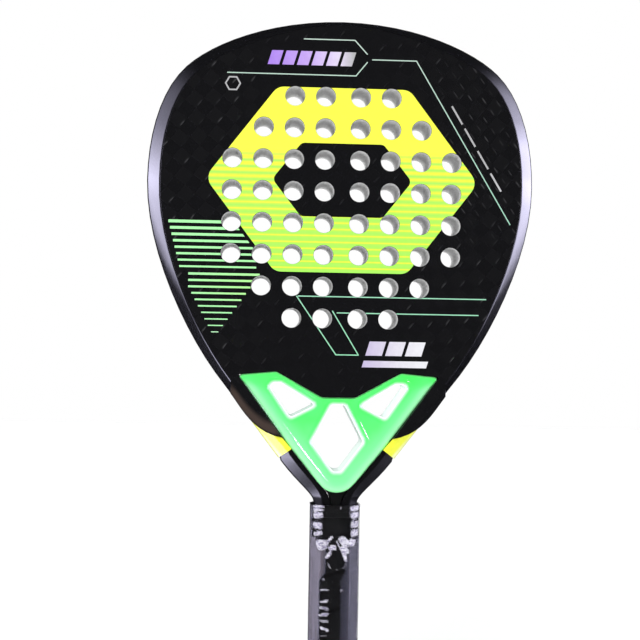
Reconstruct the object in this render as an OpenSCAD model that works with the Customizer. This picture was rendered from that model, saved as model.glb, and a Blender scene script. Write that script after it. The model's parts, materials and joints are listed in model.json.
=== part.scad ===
// Padel racket: a hollow carbon frame around a perforated foam-core face, a windowed throat bridge and
// an octagonal handle. X is the width, Y the thickness (front face towards -Y), Z runs from the butt
// cap to the tip of the head. The origin is the middle of the butt cap's lower end.

/* [Head] */
// Overall length from the butt cap to the tip
racket_len = 452; // [450:0.5:455]
// Overall width of the head
head_w = 260; // [258:0.5:260]
// Overall thickness of the head, over both skins
head_t = 38; // [37:0.5:38]
// Height of the widest place
widest_z = 342; // [340:1:344]
// Wall of the carbon tube
tube_wall = 1.6; // [1.4:0.1:2]
// Thickness of one face skin
skin_t = 0.8; // [0.7:0.1:1]
// Depth of the moulded lip over each throat arm
lip_t = 2; // [1.8:0.1:2]

/* [Holes] */
// Diameter of a hole in the hitting face
hole_d = 13; // [9:0.5:13]
// Sideways pitch of the holes
hole_pitch_x = 20.5; // [20.3:0.1:20.6]
// Wider pitch between the two middle columns
hole_pitch_mid = 23.4; // [23:0.1:23.6]
// Pitch of the rows
hole_pitch_z = 21.1; // [21:0.1:21.2]
// Height of the middle of the hole pattern
hole_mid_z = 325.3; // [324.5:0.1:326]

/* [Throat] */
// Thickness of the throat bridge
bridge_t = 37.2; // [36:0.2:37.2]
// Wall of the hollow throat bridge
bridge_wall = 3; // [2.8:0.1:3.2]
// Thickness of the coloured band on each arm
band_t = 0.5; // [0.4:0.1:0.5]

/* [Handle] */
// Width across the wrapped grip
grip_w = 33.2; // [33:0.1:33.6]
// Depth of the wrapped grip, front to back
grip_d = 29; // [28.8:0.1:29.4]
// Thickness of the cushioned grip
grip_t = 2; // [1.9:0.05:2]
// Height of the top edge of the grip
grip_top = 127; // [126:0.5:127]
// Height of the butt cap
cap_h = 14; // [12:0.5:16]
// Diameter of the wrist cord's hole
cord_hole_d = 6; // [5:0.5:8]
// Thickness of the clear film on the grip
film_t = 0.3; // [0.2:0.05:0.4]

/* [Graphics] */
// Thickness of the printed graphics
print_t = 0.15; // [0.1:0.05:0.2]
// Width of the thin outlines
line_w = 0.7; // [0.6:0.1:1.2]
// Height of the large emblem
emblem_h = 123; // [118:1:124]
// Stroke of the large emblem
emblem_stroke = 37; // [34:1:40]

/* [Hidden] */

half_w = head_w / 2;
half_t = head_t / 2;
fit = 0.3;            // clearance between curved pieces
lip_gap = 0.1;        // clearance between a lip and the arm under it
tube_half_t = half_t - skin_t;
arm_half_t = half_t - lip_t - lip_gap;
eps = 0.01;
round_fn = 48;

// ---- curves ---------------------------------------------------------------------------------------

function bezier(p, t) =
    pow(1 - t, 3) * p[0] + 3 * pow(1 - t, 2) * t * p[1] + 3 * (1 - t) * t * t * p[2] + t * t * t * p[3];

function unit(v) = v / norm(v);

function flip(pts) = [for (i = [len(pts) - 1 : -1 : 0]) [-pts[i][0], pts[i][1]]];

// One corner of a rounded outline: the arc of radius r that replaces corner b between a and c.
broad_r = 10;         // from this radius on, a corner is divided more finely
function corner(a, b, c, r) =
    let (
        steps = r < broad_r ? 5 : 12,
        ua = unit(a - b),
        uc = unit(c - b),
        half = acos(ua * uc) / 2,
        reach = r / tan(half),
        mid = b + unit(ua + uc) * r / sin(half),
        start = b + ua * reach - mid,
        turn = 180 - 2 * half,
        way = sign(ua[0] * uc[1] - ua[1] * uc[0])
    )
    [for (i = [0 : steps])
        let (q = -way * turn * i / steps)
        mid + [start[0] * cos(q) - start[1] * sin(q), start[0] * sin(q) + start[1] * cos(q)]];

// An outline whose corners are given as [x, z, radius].
function rounded(c) =
    [for (i = [0 : len(c) - 1])
        let (
            a = c[(i + len(c) - 1) % len(c)],
            b = c[i],
            d = c[(i + 1) % len(c)]
        )
        each corner([a[0], a[1]], [b[0], b[1]], [d[0], d[1]], b[2])];

// ---- the rail: the outer edge of the frame, from the tip (0) down one side to the butt (6) ----------

shoulder = [105.3, 419.2];
shoulder_dir = [cos(43.5), -sin(43.5)];
head_corner = [76, 206.3];
arm_end = [37, 155.6];
leg_x = 14.3;          // half width of the frame where it enters the grip
leg_core_x = 12.8;     // half width of the two legs inside the handle shell
shell_z = 112;         // top of the handle shell
leg_end_z = 12;

crown = [[0, racket_len], [49.3, racket_len], shoulder - 23.1 * shoulder_dir, shoulder];
upper_side = [shoulder, shoulder + 22.4 * shoulder_dir, [half_w, widest_z + 32.5], [half_w, widest_z]];
lower_side = [[half_w, widest_z], [half_w, widest_z - 46.8], [101.6, 237.1], head_corner];
neck_foot = grip_top + 0.5;
neck = [arm_end, [25.5, 140.6], [leg_x, 133.5], [leg_x, neck_foot]];

function rail(s) =
    s < 1 ? bezier(crown, s) :
    s < 2 ? bezier(upper_side, s - 1) :
    s < 3 ? bezier(lower_side, s - 2) :
    s < 4 ? head_corner + (arm_end - head_corner) * (s - 3) :
    s < 5 ? bezier(neck, s - 4) :
    [
        lookup(s, [[5, leg_x], [5.2, leg_x], [5.4, leg_core_x]]),
        lookup(s, [[5, neck_foot], [5.2, shell_z + 6], [5.4, shell_z], [6, leg_end_z], [7, leg_end_z - 10]])
    ];

// Direction from the outer edge towards the inside of the frame.
function inward(s) =
    s <= 0 ? [0, -1] :
    s >= 5 ? [-1, 0] :
    let (d = unit(rail(s + 0.01) - rail(s - 0.01)))
    [d[1], -d[0]];

function rail_in(s, depth) = rail(s) + inward(s) * depth;

// Width of the tube, width of its chamfer, half height of its outer wall and half its thickness.
function tube_w(s) = lookup(s,
    [[0, 22], [2, 22], [2.5, 19], [3, 11.5], [4, 10.6], [4.5, 8.8], [4.8, 9.8],
    [5, 10.9], [5.2, 10.9], [5.4, 9.4]]);
function tube_chamfer(s) = lookup(s,
    [[0, 4.2], [0.5, 8.6], [1, 9.4], [2, 9.2], [2.5, 7.2], [3, 5.4], [3.5, 6.4], [4, 8], [4.5, 7.2], [5, 5.4]]);
function tube_wall_half(s) = lookup(s, [[0, 9], [3, 9], [4, 9], [5, 6.2], [5.2, 5.4]]);
function tube_half(s) = lookup(s,
    [[2.86, tube_half_t], [2.94, arm_half_t], [4, arm_half_t], [4.5, 15.2],
    [5, 12.2], [5.2, 12.2], [5.4, 10.7]]);

rail_stops = [
    for (i = [0 : 11]) i / 12,
    for (i = [0 : 8]) 1 + i / 9,
    for (i = [0 : 11]) 2 + i / 12,
    for (i = [0 : 5]) 3 + i / 6,
    for (i = [0 : 7]) 4 + i / 8,
    5, 5.2, 5.4, 6
];

// The tube's cross-section at s, inset by t on every side, as [depth from the outer edge, y]. Where the
// chamfer takes up the whole width, the front and back keep a sliver as wide as least_flat.
least_flat = 0.3;
function section_corners(s, t) =
    let (
        w = tube_w(s),
        c = tube_chamfer(s),
        wall = tube_wall_half(s),
        h = tube_half(s),
        slope = (h - wall) / c,
        shift = t * sqrt(1 + slope * slope),
        low = wall + slope * t - shift,
        far = min((h - t - wall + shift) / slope, w - t - least_flat),
        high = low + slope * (far - t)
    )
    [[w - t, -high], [far, -high], [t, -low], [t, low], [far, high], [w - t, high]];

// The same section with its four outer corners eased.
ease = 1.4;
function eased(a, b, c) =
    let (ua = unit(a - b), uc = unit(c - b))
    [b + ua * ease, b + (ua + uc) * ease / 4, b + uc * ease];
function section_eased(s, t) =
    let (k = section_corners(s, t))
    [k[0], for (i = [1 : 4]) each eased(k[i - 1], k[i], k[i + 1]), k[5]];

function section(s, t, soft) = soft ? section_eased(s, t) : section_corners(s, t);

// The places along the rail that a sweep visits, each as [s, side]: one side of the frame, or both (0)
// joined over the tip.
function rail_path(stops, side) =
    let (
        up = [for (i = [len(stops) - 1 : -1 : 0]) [stops[i], 1]],
        down = [for (i = [side == 0 ? 1 : 0 : len(stops) - 1]) [stops[i], -1]]
    )
    side > 0 ? up : side < 0 ? down : concat(up, down);

// One ring of the sweep: the section's corners stood up at p = [s, side].
function rail_ring(p, corners) =
    let (o = rail(p[0]), n = inward(p[0]))
    [for (q = corners) [p[1] * (o[0] + n[0] * q[0]), q[1], o[1] + n[1] * q[0]]];

// Triangles between k points of each ring and the next, counting from the given first point.
function skin_between(rings, k, first, turn) =
    [for (i = [0 : rings - 2], j = [0 : k - 1])
        let (
            a = first + i * k + j,
            b = first + i * k + (j + 1) % k
        )
        each turn > 0 ? [[a, a + k, b], [b, a + k, b + k]] : [[a, b, a + k], [b, b + k, a + k]]];

// A solid swept along the rail, inset by inset(s).
module rail_sweep(stops, inset, soft = true, side = 0) {
    path = rail_path(stops, side);
    rings = [for (p = path) rail_ring(p, section(p[0], inset(p[0]), soft))];
    k = len(rings[0]);
    faces = [
        each skin_between(len(rings), k, 0, 1),
        [for (j = [0 : k - 1]) j],
        [for (j = [k - 1 : -1 : 0]) (len(rings) - 1) * k + j]
    ];
    polyhedron([for (r = rings) each r], faces, convexity = 10);
}

// A pipe along both sides of the rail, open at both ends.
module rail_pipe(stops, inset, wall) {
    path = rail_path(stops, 0);
    outer = [for (p = path) rail_ring(p, section_corners(p[0], inset(p[0])))];
    inner = [for (p = path) rail_ring(p, section_corners(p[0], inset(p[0]) + wall))];
    n = len(path);
    k = len(outer[0]);
    last = (n - 1) * k;
    start_end = [for (j = [0 : k - 1])
        let (j2 = (j + 1) % k)
        each [[j, j2, n * k + j], [j2, n * k + j2, n * k + j]]];
    far_end = [for (j = [0 : k - 1])
        let (j2 = (j + 1) % k)
        each [[last + j, last + n * k + j, last + j2], [last + j2, last + n * k + j, last + n * k + j2]]];
    faces = concat(skin_between(n, k, 0, 1), skin_between(n, k, n * k, -1), start_end, far_end);
    polyhedron([each [for (r = outer) each r], each [for (r = inner) each r]], faces, convexity = 10);
}

// ---- outlines in the plane of the face ---------------------------------------------------------------

lip_curve = [[71.5, 200.8], [64, 191], [56, 175], [36.8, 172.2]];
face_stops = [
    for (i = [0 : 11]) i / 12,
    for (i = [0 : 8]) 1 + i / 9,
    for (i = [0 : 12]) 2 + i / 12
];

// The upper edge of the throat bridge, from its outer corner to the middle, as [x, z, radius].
bridge_top = [[41.5, 215.4, 4], [11, 198.8, 4]];

// Right half of the face skin: down the chamfer's edge, along the lip and back up beside the bridge.
face_half = [
    for (s = face_stops) rail_in(s, tube_chamfer(s) + 0.4),
    for (i = [0 : 10]) bezier(lip_curve, i / 10),
    [66.9, 213.4],
    each corner([66.9, 213.4], [41.5, 215.7], [11, 199.1], 4),
    each corner([41.5, 215.7], [11, 199.1], [0, 199.1], 4)
];

// Right half of the foam core: inside the tube and above the bridge.
core_half = [
    for (s = face_stops) rail_in(s, tube_w(s) + fit),
    [66.2, 213.6],
    each corner([66.2, 213.6], [41.5, 215.7], [11, 199.1], 4),
    each corner([41.5, 215.7], [11, 199.1], [0, 199.1], 4)
];

// Stands an XZ outline up, from y = front to y = back.
module upright(front, back) {
    translate([0, back, 0])
        rotate([90, 0, 0])
            linear_extrude(back - front, convexity = 10)
                children();
}

// Both halves of an outline whose right half is given, without doubling its points on the middle line.
module both(half) {
    right = [for (p = half) if (p[0] > eps) p];
    middle = [for (p = half) if (abs(p[0]) <= eps) p];
    polygon(concat(
        [middle[0]],
        right,
        len(middle) > 1 ? [middle[len(middle) - 1]] : [],
        flip(right)
    ));
}

// ---- holes -------------------------------------------------------------------------------------------

hole_rows = [2, 3, 4, 4, 4, 4, 3, 2];   // holes on each side of the middle, from the top row down

module at_holes() {
    for (row = [0 : len(hole_rows) - 1], col = [0 : hole_rows[row] - 1], side = [-1, 1])
        translate([
            side * (hole_pitch_mid / 2 + col * hole_pitch_x),
            0,
            hole_mid_z + ((len(hole_rows) - 1) / 2 - row) * hole_pitch_z
        ])
            rotate([90, 0, 0])
                children();
}

module holes(depth, d = hole_d) {
    at_holes() cylinder(h = depth, d = d, center = true, $fn = round_fn);
}

// ---- frame -------------------------------------------------------------------------------------------

band_start = 3.14;
band_end = 3.96;
recess = band_t + fit;
bladder_wall = 0.6;

// The arms are drawn in where the coloured bands sit.
function tube_inset(s) = lookup(s,
    [[band_start - 0.03, 0], [band_start, recess], [band_end, recess], [band_end + 0.03, 0]]);
function bore_inset(s) = tube_inset(s) + tube_wall;
function bladder_inset(s) = bore_inset(s) + fit;
function band_out(s) = 0;
function band_in(s) = band_t;

frame_stops = [
    for (s = rail_stops) if (s < 3) s,
    3, band_start - 0.03, band_start, 3.4, 3.7, band_end, band_end + 0.03,
    for (s = rail_stops) if (s > 4) s
];
past_end = 6.2;       // a little beyond the open ends of the legs

module frame_tube() {
    color("#141416")
        difference() {
            rail_sweep(frame_stops, function (s) tube_inset(s));
            rail_sweep([for (s = frame_stops) if (s < 6) s, past_end],
                function (s) bore_inset(s), soft = false);
        }
}

module frame_bladder() {
    color("#d9d4c4")
        rail_pipe(frame_stops, function (s) bladder_inset(s), bladder_wall);
}

// ---- hitting face ------------------------------------------------------------------------------------

module core() {
    color("#e9e9e6")
        difference() {
            upright(-tube_half_t, tube_half_t) both(core_half);
            holes(head_t);
        }
}

lip_top = 209;        // height up to which the skin is thick enough to form the lips

// One skin with its two moulded lips; side is -1 for the front and 1 for the back.
module face(side) {
    outer = side * half_t;
    inner = side * tube_half_t;
    lip_inner = side * (half_t - lip_t);
    difference() {
        union() {
            upright(min(outer, inner), max(outer, inner)) both(face_half);
            intersection() {
                upright(min(inner, lip_inner) - eps, max(inner, lip_inner) + eps) both(face_half);
                translate([-half_w, -half_t, 0])
                    cube([head_w, head_t, lip_top]);
            }
        }
        holes(head_t + 2);
    }
}

module face_front() {
    color("#18181b") face(-1);
}

module face_back() {
    color("#18181b") face(1);
}

// ---- throat ------------------------------------------------------------------------------------------

bridge_side = [[66.4, 213.0, 1], [28.4, 162.3, 12]];
bridge_foot = [0, 127.6, 14.5];   // where the two sides would meet, rounded to a broad foot
bridge_outline = concat(
    [bridge_top[1], bridge_top[0]],
    bridge_side,
    [bridge_foot],
    [for (i = [1 : -1 : 0]) [-bridge_side[i][0], bridge_side[i][1], bridge_side[i][2]]],
    [[-bridge_top[0][0], bridge_top[0][1], bridge_top[0][2]],
    [-bridge_top[1][0], bridge_top[1][1], bridge_top[1][2]]]
);
side_window = [[47.4, 208.2, 2.5], [38.4, 208.2, 3], [14.8, 193.9, 1.5], [31.6, 185.3, 1.8]];
middle_window = [
    [4.4, 194.2, 2], [17.3, 169.5, 3], [2.6, 149.6, 2],
    [-2.6, 149.6, 2], [-17.3, 169.5, 3], [-4.4, 194.2, 2]
];

module windows() {
    polygon(rounded(middle_window));
    for (side = [0, 1])
        mirror([side, 0])
            polygon(rounded(side_window));
}

module bridge_flat() {
    difference() {
        polygon(rounded(bridge_outline));
        windows();
    }
}

// The bridge gets thinner towards the handle: a block with that side view, t thinner on each face.
module bridge_wedge(t) {
    half = bridge_t / 2 - t;
    foot = half - 3;
    translate([-half_w, 0, 0])
        rotate([90, 0, 90])
            linear_extrude(head_w)
                polygon([[-half, 220], [-half, 184], [-foot, 132], [foot, 132], [half, 184], [half, 220]]);
}

// Where the bridge is broad enough to be hollow, grown back to within t of its edges.
module bridge_hollow(t) {
    offset(r = bridge_wall + 1.2 - t)
        offset(delta = -bridge_wall - 1.2)
            bridge_flat();
}

port_w = 6;           // opening at the foot of the bridge, through which its foam is filled

module throat_bridge() {
    color("#3cf25c")
        difference() {
            intersection() {
                upright(-half_t, half_t) bridge_flat();
                bridge_wedge(0);
            }
            intersection() {
                upright(-half_t, half_t) bridge_hollow(bridge_wall);
                bridge_wedge(bridge_wall);
            }
            translate([-port_w / 2, -port_w / 2, 130])
                cube([port_w, port_w, 14]);
        }
}

module bridge_foam() {
    color("#cfd3cf")
        intersection() {
            upright(-half_t, half_t) bridge_hollow(bridge_wall + fit);
            bridge_wedge(bridge_wall + fit);
        }
}

band_stops = [band_start + 0.01, 3.3, 3.45, 3.6, 3.75, band_end - 0.01];

// The stretch of the arm that a band covers: from the lip's edge down to the lower line.
band_cut = [
    for (i = [0 : 10]) bezier(lip_curve, i / 10) - [0, fit],
    [30, 164], [28, 160],
    rail(band_end) + [4, -8],
    rail(band_end) + [30, 10],
    [90, 200]
];

module arm_band(side) {
    intersection() {
        difference() {
            rail_sweep(band_stops, function (s) band_out(s), side = side);
            rail_sweep([band_stops[0] - 0.02, each band_stops, band_end + 0.02],
                function (s) band_in(s), soft = false, side = side);
        }
        upright(-half_t, half_t)
            scale([side, 1])
                polygon(band_cut);
    }
}

module arm_band_left() {
    color("#fbff4a") arm_band(-1);
}

module arm_band_right() {
    color("#fbff4a") arm_band(1);
}

// ---- handle ------------------------------------------------------------------------------------------

// The octagon of the handle, t inside the wrapped grip's surface.
flat_share = 0.54;    // share of the width that the front facet takes
side_share = 0.52;    // share of the depth that the side facet takes
facet_shrink = 0.4;   // how much less half a facet is for each millimetre inside
module octagon(t) {
    x = grip_w / 2 - t;
    y = grip_d / 2 - t;
    fx = grip_w / 2 * flat_share - t * facet_shrink;
    fy = grip_d / 2 * side_share - t * facet_shrink;
    polygon([[x, -fy], [x, fy], [fx, y], [-fx, y], [-x, fy], [-x, -fy], [-fx, -y], [fx, -y]]);
}

module octagon_tube(outer, inner, z0, z1) {
    translate([0, 0, z0])
        linear_extrude(z1 - z0, convexity = 4)
            difference() {
                octagon(outer);
                octagon(inner);
            }
}

shell_foot = 10;
shell_wall = 1.3;
filler_w = 6.2;
filler_top = 135;     // just under the foot of the throat bridge
filler_d = 20;

module handle_filler() {
    half = [
        [0, filler_top],
        for (s = [4.8 : 0.05 : 5]) rail_in(s, tube_w(s) + fit),
        [filler_w / 2, shell_z + 6],
        [filler_w / 2, shell_foot],
        [0, shell_foot]
    ];
    color("#1a1a1c")
        upright(-filler_d / 2, filler_d / 2) both(half);
}

module handle_shell() {
    color("#202022")
        octagon_tube(grip_t, grip_t + shell_wall, shell_foot, shell_z);
}

tape_h = 8;           // width of the finishing tape above the grip
film_past = 0.5;      // how far the film reaches above the tape

module grip() {
    color("#1b1b1d")
        octagon_tube(0, grip_t, cap_h, grip_top - tape_h);
}

module finishing_tape() {
    color("#101012")
        octagon_tube(0, grip_t, grip_top - tape_h, grip_top);
}

cap_foot = 3;         // height of the cap's narrower foot
cap_lip = 0.6;        // how far the cap stands proud of the grip
module butt_cap() {
    color("#161618")
        difference() {
            union() {
                linear_extrude(cap_foot) octagon(0);
                translate([0, 0, cap_foot])
                    linear_extrude(cap_h - cap_foot) octagon(-cap_lip);
            }
            translate([0, 0, shell_foot])
                linear_extrude(cap_h) octagon(grip_t);
            translate([0, 0, -1])
                cylinder(h = shell_foot + 2, d = cord_hole_d, $fn = round_fn);
        }
}

module shrink_film() {
    color([0.85, 0.87, 0.9, 0.35])
        octagon_tube(-film_t, 0, cap_h, grip_top + film_past);
}

// ---- printed graphics --------------------------------------------------------------------------------

print_gap = 0.4;      // how much wider than a hole the print is cut

// A printed layer on the front (side = -1) or the back (side = 1), cut by the holes.
module printed(side) {
    outer = side * (half_t + print_t);
    inner = side * half_t;
    difference() {
        upright(min(outer, inner), max(outer, inner)) children();
        holes(head_t + 2, hole_d + print_gap);
    }
}

emblem_mid = 343.5;
emblem_w = 182;
emblem_flat = 88;     // width of the emblem's level upper and lower edges
emblem_r = 9;
ring_side = 2.4;      // strokes that the ring's inside is narrower by, over its two points
ring_flat = 0.9;      // strokes that its level edges are shorter by inside

function hexagon(w, h, flat, r) = rounded([
    [w / 2, emblem_mid, r], [flat / 2, emblem_mid - h / 2, r], [-flat / 2, emblem_mid - h / 2, r],
    [-w / 2, emblem_mid, r], [-flat / 2, emblem_mid + h / 2, r], [flat / 2, emblem_mid + h / 2, r]
]);

// A plain hexagonal ring.
module emblem() {
    difference() {
        polygon(hexagon(emblem_w, emblem_h, emblem_flat, emblem_r));
        polygon(hexagon(
            emblem_w - emblem_stroke * ring_side,
            emblem_h - emblem_stroke * 2,
            emblem_flat - emblem_stroke * ring_flat,
            emblem_r / 2
        ));
    }
}

module emblem_front() {
    color("#e6f53a") printed(-1) emblem();
}

module emblem_back() {
    color("#e6f53a") printed(1) emblem();
}

// Level bars that follow the edge of the face and get thinner downwards: a tall group, then a tapering one.
// Each is [bars, z of the first, its left end, shift per bar, its right end, shift per bar, its height,
// number of bars that start level with the next one].
bar_groups = [
    [8, 314, -114.5, 1.1, -12, -6.3, 1.9, 0],
    [10, 279.5, -105.2, 2.24, -53.7, -2.95, 1.5, 2]
];
bar_pitch = 4.25;
bar_thinning = 0.1;
module speed_bars() {
    for (g = bar_groups, i = [0 : g[0] - 1]) {
        left = g[2] + max(i, g[7]) * g[3];
        right = g[4] + i * g[5];
        high = g[6] - i * bar_thinning;
        translate([left, g[1] - i * bar_pitch - high / 2])
            square([right - left, high]);
    }
}

emblem_margin = 3;    // clear space between the bars and the emblem
module speed_bars_clear() {
    difference() {
        speed_bars();
        polygon(hexagon(
            emblem_w + 2 * emblem_margin,
            emblem_h + emblem_margin,
            emblem_flat + emblem_margin,
            emblem_r
        ));
    }
}

module speed_bars_front() {
    color("#5be3a8") printed(-1) speed_bars_clear();
}

module speed_bars_back() {
    color("#5be3a8") printed(1) mirror([1, 0]) speed_bars_clear();
}

// A thin line through the given points.
module outline(pts) {
    for (i = [0 : len(pts) - 2]) {
        way = pts[i + 1] - pts[i];
        translate((pts[i] + pts[i + 1]) / 2)
            rotate(atan2(way[1], way[0]))
                square([norm(way) + line_w / 2, line_w], center = true);
    }
}

module outline_lines() {
    outline([[-27, 437.3], [7, 437.3], [15.4, 428.2]]);
    outline([[18.8, 424.6], [48.4, 424.6], [113, 316.5]]);
    outline([[-77.5, 413.5], [8, 413.5], [15.5, 422.8]]);
    outline([[-28, 266], [97.5, 266]]);
    outline([[-2, 255.3], [92.5, 255.3]]);
    outline([[-29, 266], [-2.3, 227.5], [12.7, 227.5], [-5, 256.5]]);
}

module outline_lines_front() {
    color("#9fe8d2") printed(-1) outline_lines();
}

module outline_lines_back() {
    color("#9fe8d2") printed(1) mirror([1, 0]) outline_lines();
}

// A row of n bars with slanted ends, each of the given size, from the lower left corner of the first.
slant = 0.3;          // sideways lean for each millimetre of height
module slanted_bars(n, at, pitch, size) {
    for (i = [0 : n - 1])
        translate([at[0] + i * pitch, at[1]])
            polygon([[0, 0], [size[0], 0], [size[0] + size[1] * slant, size[1]], [size[1] * slant, size[1]]]);
}

badge_at = [-73.7, 406.4];
badge_r = 5.4;
badge_line = 1.1;
dash_from = [76.3, 389];
dash_step = [8.9, -14.8];
dash_size = [14, 1.2];

// Plain bars where lettering would go, a small hexagonal badge and a row of short dashes.
module label_bars() {
    slanted_bars(6, [-51, 419.8], 9.7, [7.6, 9.4]);
    slanted_bars(3, [17.3, 227.3], 13.2, [11, 9.4]);
    slanted_bars(1, [15, 219.5], 0, [43, 4.4]);
    translate(badge_at)
        difference() {
            circle(r = badge_r, $fn = 6);
            circle(r = badge_r - badge_line, $fn = 6);
        }
    for (i = [0 : 3])
        translate(dash_from + i * dash_step)
            rotate(atan2(dash_step[1], dash_step[0]))
                square(dash_size, center = true);
}

module label_bars_front() {
    color("#c9b8ee") printed(-1) label_bars();
}

frame_tube();
frame_bladder();
core();
face_front();
face_back();
throat_bridge();
bridge_foam();
arm_band_left();
arm_band_right();
handle_filler();
handle_shell();
grip();
finishing_tape();
butt_cap();
shrink_film();
emblem_front();
emblem_back();
speed_bars_front();
speed_bars_back();
outline_lines_front();
outline_lines_back();
label_bars_front();
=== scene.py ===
# %% [markdown]
# # A padel racket, from CAD parts to finished looks
# The racket was designed as solid parts in CAD: a hollow carbon frame, a foam core, two carbon skins, a
# throat bridge and a handle. This lesson keeps every size and place from those parts and gives them soft
# edges, real materials, a wrapped grip and the crinkled film that a new racket's handle comes in.

# %% Load the CAD parts
import json
import math

import bmesh
import bpy
import numpy as np
from mathutils import Matrix, Quaternion, Vector

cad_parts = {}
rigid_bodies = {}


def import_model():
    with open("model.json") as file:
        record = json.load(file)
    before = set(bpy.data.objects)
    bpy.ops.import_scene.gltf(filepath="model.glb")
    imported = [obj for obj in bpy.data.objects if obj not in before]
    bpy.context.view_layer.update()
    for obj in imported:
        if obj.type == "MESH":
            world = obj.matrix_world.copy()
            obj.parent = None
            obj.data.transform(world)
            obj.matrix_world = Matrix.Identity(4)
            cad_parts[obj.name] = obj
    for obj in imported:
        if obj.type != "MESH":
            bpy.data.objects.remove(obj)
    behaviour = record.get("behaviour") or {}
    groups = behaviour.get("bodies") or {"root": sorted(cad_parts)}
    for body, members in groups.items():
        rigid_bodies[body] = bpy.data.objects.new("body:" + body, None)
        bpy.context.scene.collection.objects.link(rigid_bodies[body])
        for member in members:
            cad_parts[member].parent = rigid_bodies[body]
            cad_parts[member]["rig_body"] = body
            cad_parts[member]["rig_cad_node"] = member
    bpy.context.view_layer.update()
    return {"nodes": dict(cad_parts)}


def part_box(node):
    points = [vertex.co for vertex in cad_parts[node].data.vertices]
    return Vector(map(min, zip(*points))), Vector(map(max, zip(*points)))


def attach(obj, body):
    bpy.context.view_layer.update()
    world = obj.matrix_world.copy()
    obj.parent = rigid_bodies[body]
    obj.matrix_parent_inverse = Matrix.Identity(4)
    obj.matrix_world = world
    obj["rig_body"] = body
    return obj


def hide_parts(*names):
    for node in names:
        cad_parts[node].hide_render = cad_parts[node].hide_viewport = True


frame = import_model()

MM = 0.001
nodes = frame["nodes"]

# %% [markdown]
# ## Camera
# A long lens from far back keeps the racket's sides almost parallel. The camera is slightly left of the
# racket, a little above the throat, and looks a touch upwards.

# %% Camera
CAMERA_PLACE = (-0.0585, -0.8727, 0.2320)
SENSOR_MM, LENS_MM = 36, 72.54
camera_data = bpy.data.cameras.new("product_camera")
camera_data.sensor_width = SENSOR_MM
camera_data.lens = LENS_MM
camera_data.clip_start = 0.01
camera = bpy.data.objects.new("product_camera", camera_data)
bpy.context.scene.collection.objects.link(camera)
right = Vector((0.99842, -0.05339, 0.01757)).normalized()
forward = Vector((0.05301, 0.99836, 0.02148)).normalized()
up = right.cross(forward).normalized()
forward = up.cross(right).normalized()
turn = Matrix((right, up, -forward)).transposed().to_4x4()
camera.matrix_world = Matrix.Translation(CAMERA_PLACE) @ turn
bpy.context.scene.camera = camera
print("camera heading in degrees:", [round(math.degrees(a), 2) for a in camera.matrix_world.to_euler()])

# %% [markdown]
# ## Node helpers
# A material is a small graph. These helpers add one node and join its inputs in one line each, so that a
# recipe further down reads like a sentence.


# %% Node helpers
def feed(tree, socket, value):
    """Puts a number, a colour or another node's output into an input."""
    if isinstance(value, bpy.types.NodeSocket):
        tree.links.new(value, socket)
    elif isinstance(value, tuple) and len(value) == 3 and len(socket.default_value) == 4:
        socket.default_value = (*value, 1)
    else:
        socket.default_value = value


def maths(tree, operation, *values):
    node = tree.nodes.new("ShaderNodeMath")
    node.operation = operation
    for socket, value in zip(node.inputs, values):
        feed(tree, socket, value)
    return node.outputs[0]


def times(tree, product, *others):
    """Two or more numbers multiplied."""
    for value in others:
        product = maths(tree, "MULTIPLY", product, value)
    return product


def scaled(tree, value, factor, start):
    """value * factor + start."""
    return maths(tree, "MULTIPLY_ADD", value, factor, start)


def ramp(tree, value, stops):
    """A colour ramp; stops are (place, colour), with a grey given as one number."""
    node = tree.nodes.new("ShaderNodeValToRGB")
    elements = node.color_ramp.elements
    while len(elements) < len(stops):
        elements.new(0.5)
    for element, (place, colour) in zip(elements, stops):
        element.position = place
        element.color = (*colour, 1) if isinstance(colour, tuple) else (colour, colour, colour, 1)
    feed(tree, node.inputs[0], value)
    return node.outputs[0]


def blend(tree, factor, a, b):
    node = tree.nodes.new("ShaderNodeMix")
    node.data_type = "RGBA"
    feed(tree, node.inputs[0], factor)
    feed(tree, node.inputs[6], a)
    feed(tree, node.inputs[7], b)
    return node.outputs[2]


def between(tree, value, low, high):
    """0 below low, 1 above high, and smooth between them. low may be the larger."""
    node = tree.nodes.new("ShaderNodeMapRange")
    node.interpolation_type = "SMOOTHSTEP"
    for socket, v in zip(node.inputs, (value, low, high, 0.0, 1.0)):
        feed(tree, socket, v)
    return node.outputs[0]


def noise_of(tree, place, scale, detail=2.0, roughness=0.5):
    node = tree.nodes.new("ShaderNodeTexNoise")
    feed(tree, node.inputs["Vector"], place)
    node.inputs["Scale"].default_value = scale
    node.inputs["Detail"].default_value = detail
    node.inputs["Roughness"].default_value = roughness
    return node.outputs[0]


def bump_of(tree, height, distance, strength=1.0, normal=None):
    node = tree.nodes.new("ShaderNodeBump")
    node.inputs["Strength"].default_value = strength
    node.inputs["Distance"].default_value = distance
    feed(tree, node.inputs["Height"], height)
    if normal is not None:
        feed(tree, node.inputs["Normal"], normal)
    return node.outputs[0]


def split(tree, vector):
    node = tree.nodes.new("ShaderNodeSeparateXYZ")
    feed(tree, node.inputs[0], vector)
    return node.outputs


def joined(tree, x, y, z):
    node = tree.nodes.new("ShaderNodeCombineXYZ")
    for socket, value in zip(node.inputs, (x, y, z)):
        feed(tree, socket, value)
    return node.outputs[0]


# %% [markdown]
# ## Light
# Gloss black shows nothing but what it reflects. A long soft box on each side draws the pale streak down
# the frame's chamfers, and a dark space in front keeps the face deep black. Matt surfaces want the
# opposite: an even, soft light from everywhere. One world does both, by asking what kind of ray is
# looking at it. The boxes could be area lights instead, but a world has no edge that a curved surface
# could show.


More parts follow.
